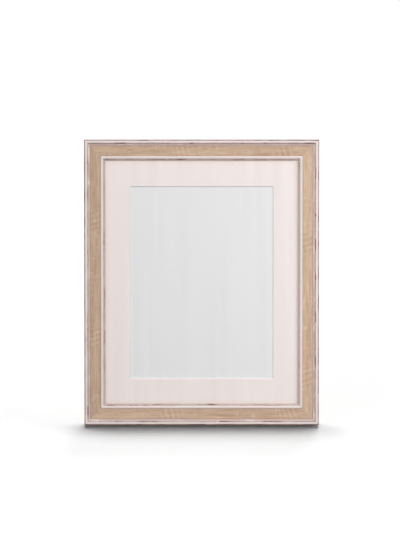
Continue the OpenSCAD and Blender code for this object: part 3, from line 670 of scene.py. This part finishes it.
rivets = rivetTree()
for node, (body, place, spots, own) in rivetSets.items():
    piece = growPiece(node + "_domed", rivets, pointMesh(node + "Spots", spots),
                      {**rivetLook, **own}, place)
    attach(piece, body)
    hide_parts(node)
print("Rivets set:", len(rivetSets))

screwLook = {
    "Head radius": 3.1, "Dome": 0.6, "Skirt": 1.2, "Seat": 1.2, "Shank radius": 1.6, "Shank": 9.2,
    "Point": 2.4, "Blunt": 0.04, "Recess": 3.84, "Recess width": 0.8, "Recess depth": 1.05,
    "Steel": brightZinc,
}
screwSpots = {"side": 110.0, "low": 66.0, "high": 219.8, "turns": (0.5, 0.2, 1.1, 0.85)}


def screwTree():  # a cross-recessed pan-head screw on each point, each turned as it was left
    tree, given = startTree("crossScrews", screwLook)
    brim = addNode(tree, "ShaderNodeMath", {"operation": "ADD"}, {
        0: addNode(tree, "ShaderNodeMath", {"operation": "ADD"}, {0: given["Seat"], 1: given["Skirt"]}),
        1: given["Dome"]})
    double = addNode(tree, "ShaderNodeMath", {"operation": "MULTIPLY"}, {
        0: given["Recess depth"], 1: 2.0})
    head = domedHead(tree, given)
    for x, y in (("Recess", "Recess width"), ("Recess width", "Recess")):
        slot = addNode(tree, "GeometryNodeMeshCube", inputs={"Size": addNode(
            tree, "ShaderNodeCombineXYZ", inputs={"X": given[x], "Y": given[y], "Z": double})})
        slot = addNode(tree, "GeometryNodeTransform", inputs={
            "Geometry": slot.outputs["Mesh"],
            "Translation": addNode(tree, "ShaderNodeCombineXYZ", inputs={"Z": brim})})
        head = addNode(tree, "GeometryNodeMeshBoolean", {"operation": "DIFFERENCE", "solver": "EXACT"}, {
            "Mesh 1": head, "Mesh 2": slot})
    head = addNode(tree, "GeometryNodeMergeByDistance", inputs={
        "Geometry": head.outputs["Mesh"], "Distance": fastener["weld"]})
    tip = addNode(tree, "ShaderNodeMath", {"operation": "MULTIPLY_ADD"}, {
        0: given["Shank"], 1: -1.0, 2: given["Seat"]})
    tipTop = addNode(tree, "ShaderNodeMath", {"operation": "ADD"}, {0: tip, 1: given["Point"]})
    spot = addNode(tree, "ShaderNodeSeparateXYZ", inputs={
        "Vector": addNode(tree, "GeometryNodeInputPosition")})
    taper = addNode(tree, "ShaderNodeMapRange", inputs={
        "Value": spot.outputs["Z"], "From Min": tip, "From Max": tipTop,
        "To Min": given["Blunt"], "To Max": 1.0})
    narrowed = {axis: addNode(tree, "ShaderNodeMath", {"operation": "MULTIPLY"}, {
        0: spot.outputs[axis], 1: taper}) for axis in "XY"}
    rod = addNode(tree, "GeometryNodeSetPosition", inputs={
        "Geometry": shankBelow(tree, given, fastener["taperSteps"]),
        "Position": addNode(tree, "ShaderNodeCombineXYZ", inputs={**narrowed, "Z": spot.outputs["Z"]})})
    whole = addNode(tree, "GeometryNodeJoinGeometry")
    for part in (head, rod):
        tree.links.new(part.outputs["Geometry"], whole.inputs["Geometry"])
    dressShell(tree, turnedOnPoints(tree, given, whole), [{"Material": given["Steel"]}])
    return tree


screwPoints = [(x, -z, 0) for x in (-screwSpots["side"], screwSpots["side"])
               for z in (screwSpots["low"], screwSpots["high"])]
screws = growPiece("turn_button_screws_crossed", screwTree(), pointMesh(
    "screwSpots", screwPoints, {"turn": screwSpots["turns"]}), screwLook, onBack(0, 0))
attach(screws, "frame")
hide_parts("turn_button_screws")
print("Screws driven:", len(screwPoints))

nailLook = {"Arm": 3.6, "Half opening": math.radians(35.0), "Bend": 0.5, "Steps": 6, "Thickness": 0.7,
            "Height": 7.08, "Proud": 0.08, "Steel": nailSteel}
nailInsets = {"outer": 3.8, "inner": 10.0}  # how far each nail's middle is in from both edges


def nailTree():  # a V-nail on each point: a strip bent about its middle, driven in edgeways
    tree, given = startTree("bentNails", nailLook)
    reach = {axis: addNode(tree, "ShaderNodeMath", {"operation": "MULTIPLY"}, {
        0: addNode(tree, "ShaderNodeMath", {"operation": way}, {0: given["Half opening"]}),
        1: given["Arm"]}) for axis, way in (("X", "COSINE"), ("Y", "SINE"))}
    line = addNode(tree, "GeometryNodeMeshLine", {"mode": "END_POINTS"}, {"Count": 3})
    bend = addNode(tree, "GeometryNodeMeshToCurve", inputs={"Mesh": line})
    way = addNode(tree, "ShaderNodeMath", {"operation": "SUBTRACT"}, {
        0: addNode(tree, "GeometryNodeInputIndex"), 1: 1.0})
    far = addNode(tree, "ShaderNodeMath", {"operation": "ABSOLUTE"}, {0: way})
    arms = {axis: addNode(tree, "ShaderNodeMath", {"operation": "MULTIPLY"}, {0: step, 1: reach[axis]})
            for axis, step in (("X", far), ("Y", way))}
    bend = addNode(tree, "GeometryNodeSetPosition", inputs={
        "Geometry": bend, "Position": addNode(tree, "ShaderNodeCombineXYZ", inputs=arms)})
    bend = addNode(tree, "GeometryNodeFilletCurve", {"mode": "POLY"}, {
        "Curve": bend, "Count": given["Steps"], "Radius": given["Bend"]})
    bend = addNode(tree, "GeometryNodeSetCurveNormal", {"mode": "Z_UP"}, {"Curve": bend})
    strip = addNode(tree, "GeometryNodeCurvePrimitiveQuadrilateral", inputs={
        "Width": given["Thickness"], "Height": given["Height"]})
    shell = addNode(tree, "GeometryNodeCurveToMesh", inputs={
        "Curve": bend, "Profile Curve": strip, "Fill Caps": True})
    sink = addNode(tree, "ShaderNodeMath", {"operation": "MULTIPLY_ADD"}, {
        0: given["Height"], 1: -0.5, 2: given["Proud"]})
    shell = addNode(tree, "GeometryNodeTransform", inputs={
        "Geometry": shell, "Translation": addNode(tree, "ShaderNodeCombineXYZ", inputs={"Z": sink})})
    dressShell(tree, turnedOnPoints(tree, given, shell), [{"Material": given["Steel"]}])
    return tree


nailPoints, nailTurns = [], []
for sideX in (-1, 1):
    for sideZ in (-1, 1):
        for inset in nailInsets.values():
            nailPoints.append((sideX * (frameSize["width"] / 2 - inset),
                               -frameSize["height"] / 2 - sideZ * (frameSize["height"] / 2 - inset), 0))
            nailTurns.append(math.atan2(sideZ, -sideX))
nails = growPiece("corner_nails_bent", nailTree(), pointMesh(
    "nailSpots", nailPoints, {"turn": nailTurns}), nailLook, onBack(0, 0))
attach(nails, "frame")
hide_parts("corner_nails")
print("Nails driven:", len(nailPoints))

ringLook = {"Round": 7.5, "Bend": 2.2, "Leg": 2.4, "Wire": 0.9, "Steel": nickel}
ringSteps = {"bend": 20, "wire": 20, "weld": 0.001}  # how finely it is divided, and what closes it


def ringTree():  # a D-ring: wire bent round from a straight bar, with two small bends and a half round
    tree, given = startTree("bentWireRing", ringLook)
    wide = addNode(tree, "ShaderNodeMath", {"operation": "MULTIPLY"}, {0: given["Round"], 1: 2.0})
    tall = addNode(tree, "ShaderNodeMath", {"operation": "ADD"}, {
        0: addNode(tree, "ShaderNodeMath", {"operation": "ADD"}, {0: given["Round"], 1: given["Bend"]}),
        1: given["Leg"]})
    path = addNode(tree, "GeometryNodeCurvePrimitiveQuadrilateral", inputs={"Width": wide, "Height": tall})
    far = addNode(tree, "ShaderNodeMath", {"operation": "LESS_THAN"}, {  # the first two corners
        0: addNode(tree, "GeometryNodeInputIndex"), 1: 1.5})
    radius = addNode(tree, "ShaderNodeMix", {"data_type": "FLOAT"}, {
        "Factor": far, "A": given["Bend"], "B": given["Round"]})
    path = addNode(tree, "GeometryNodeFilletCurve", {"mode": "POLY"}, {
        "Curve": path, "Count": ringSteps["bend"], "Radius": radius, "Limit Radius": True})
    half = addNode(tree, "ShaderNodeMath", {"operation": "MULTIPLY"}, {0: tall, 1: 0.5})
    path = addNode(tree, "GeometryNodeSetPosition", inputs={
        "Geometry": path, "Offset": addNode(tree, "ShaderNodeCombineXYZ", inputs={"Y": half})})
    wire = addNode(tree, "GeometryNodeCurvePrimitiveCircle", inputs={
        "Resolution": ringSteps["wire"], "Radius": given["Wire"]})
    shell = addNode(tree, "GeometryNodeCurveToMesh", inputs={"Curve": path, "Profile Curve": wire})
    shell = addNode(tree, "GeometryNodeMergeByDistance", inputs={
        "Geometry": shell, "Distance": ringSteps["weld"]})
    dressShell(tree, shell, [{"Material": given["Steel"]}])
    return tree


ringWire = ringTree()
for name, own in hangers.items():
    swung = (own["place"] @ Matrix.Translation((0, 0, strap["barOut"]))
             @ Matrix.Rotation(math.radians(own["swing"]), 4, "X"))
    piece = growPiece(name + "_ring_wire", ringWire, pointMesh(name + "Start", [(0, 0, 0)]),
                      ringLook, swung)
    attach(piece, name + "_ring")
    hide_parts(name + "_hanger_ring")
print("Hanging rings bent:", len(hangers))


stageLook = {"floor": "#8c8c8c", "size": 40.0, "rough": 0.95, "specular": 0.1}  # metres; lit up to white
floor = bpy.data.objects.new("floor", bpy.data.meshes.new("floorSheet"))
floor.data.from_pydata([(x * stageLook["size"] / 2, y * stageLook["size"] / 2, 0)
                        for x, y in ((-1, -1), (1, -1), (1, 1), (-1, 1))], [], [(0, 1, 2, 3)])
scene.collection.objects.link(floor)
floorMaterial, floorTree = startMaterial("palePaperSweep")
floorShader = addNode(floorTree, "ShaderNodeBsdfPrincipled", inputs={
    "Base Color": hexColour(stageLook["floor"]), "Roughness": stageLook["rough"],
    "Specular IOR Level": stageLook["specular"]})
addNode(floorTree, "ShaderNodeOutputMaterial", inputs={"Surface": floorShader})
floor.data.materials.append(floorMaterial)
floor.visible_diffuse = False  # its bounce is flagged off the frame too

view = {"distance": 1500.8, "pitch": 14.3, "right": 1.6, "below": 16.15, "pixelsPerRadian": 1500.0,
        "imageHeight": 533.0, "sensor": 36.0, "near": 0.01, "far": 100.0}  # near and far in metres
camera = bpy.data.objects.new("camera", bpy.data.cameras.new("camera"))
scene.collection.objects.link(camera)
camera.data.sensor_width = view["sensor"]
camera.data.lens = view["pixelsPerRadian"] * view["sensor"] / view["imageHeight"]
camera.data.clip_start, camera.data.clip_end = view["near"], view["far"]
pitch = math.radians(view["pitch"])
forward = Vector((0, math.cos(pitch), -math.sin(pitch)))
upward = Vector((0, math.sin(pitch), math.cos(pitch)))
middle = standing @ Vector((0, 0, frameSize["height"] / 2))
camera.location = middle + (upward * view["below"] - forward * view["distance"]
                            - Vector((view["right"], 0, 0))) / 1000
camera.rotation_euler = (math.pi / 2 - pitch, 0, 0)
scene.camera = camera

floorSuns = {  # azimuth, elevation, angle and energy: patches of the softbox behind, and two white walls
    "softboxRear": (172.0, 62.0, 6.0, 1.37), "softboxLeft": (192.0, 69.0, 6.0, 1.18),
    "softboxMiddle": (175.0, 71.0, 6.0, 1.2), "softboxFarRight": (160.0, 73.0, 6.0, 1.48),
    "softboxFarLeft": (200.0, 73.0, 6.0, 2.23), "softboxFront": (172.0, 74.5, 5.0, 2.77),
    "leftWall": (300.0, 12.0, 20.0, 2.75), "rightWall": (90.0, 16.0, 28.0, 4.39),
}
lights = {name: {"kind": "SUN", "energy": energy, "angle": angle, "elevation": elevation,
                 "azimuth": azimuth, "floorOnly": True}
          for name, (azimuth, elevation, angle, energy) in floorSuns.items()}
lights.update({  # azimuth 0 is straight in front, 90 is on the right; sizes and distances in metres
    "key": {"kind": "AREA", "energy": 1.1, "size": 0.5, "distance": 0.5, "azimuth": 27.0,
            "elevation": 19.0, "unmirrored": True},
    "left": {"kind": "AREA", "energy": 7.0, "size": 1.4, "distance": 2.5, "azimuth": -30.0,
             "elevation": 18.0, "shadowless": True},
    "top": {"kind": "AREA", "energy": 25.0, "size": 1.6, "distance": 2.5, "azimuth": 8.0,
            "elevation": 63.0, "shadowless": True},
    "back": {"kind": "AREA", "energy": 16.0, "size": 1.2, "distance": 2.0, "azimuth": 200.0,
             "elevation": 30.0},
})
floorFlag = bpy.data.collections.new("floorFlag")  # what the floor's own lights reach
floorFlag.objects.link(floor)
frameFlag = bpy.data.collections.new("frameFlag")  # what the other lights leave out
frameFlag.objects.link(floor)
frameFlag.collection_objects[0].light_linking.link_state = "EXCLUDE"
for name, own in lights.items():
    lamp = bpy.data.objects.new(name, bpy.data.lights.new(name, own["kind"]))
    lamp.data.energy = own["energy"]
    lamp.data.use_shadow = not own.get("shadowless")
    lamp.visible_glossy = not own.get("unmirrored")  # a flag keeps it out of the glass
    up, around = math.radians(own["elevation"]), math.radians(own["azimuth"])
    towards = Vector((math.sin(around) * math.cos(up), -math.cos(around) * math.cos(up), math.sin(up)))
    lamp.rotation_euler = towards.to_track_quat("Z", "Y").to_euler()
    if own["kind"] == "SUN":
        lamp.data.angle = math.radians(own["angle"])
    else:
        lamp.data.size = own["size"]
        lamp.location = middle + towards * own["distance"]
        lamp.visible_camera = False
    lamp.light_linking.receiver_collection = floorFlag if own.get("floorOnly") else frameFlag
    scene.collection.objects.link(lamp)

skyLook = {"colour": "#ffffff", "seen": 1.05, "fill": 0.29}  # white to the camera, dimmer as light
scene.world = bpy.data.worlds.new("studio")
scene.world.use_nodes = True
sky = scene.world.node_tree
sky.nodes.clear()
plain, fill = [addNode(sky, "ShaderNodeBackground", inputs={
    "Color": hexColour(skyLook["colour"]), "Strength": skyLook[use]}) for use in ("seen", "fill")]
direct = addNode(sky, "ShaderNodeLightPath").outputs["Is Camera Ray"]
both = addNode(sky, "ShaderNodeMixShader", inputs={0: direct, 1: fill, 2: plain})
addNode(sky, "ShaderNodeOutputWorld", inputs={"Surface": both})
scene.view_settings.view_transform = "Standard"
print("Stage, camera and lights set")
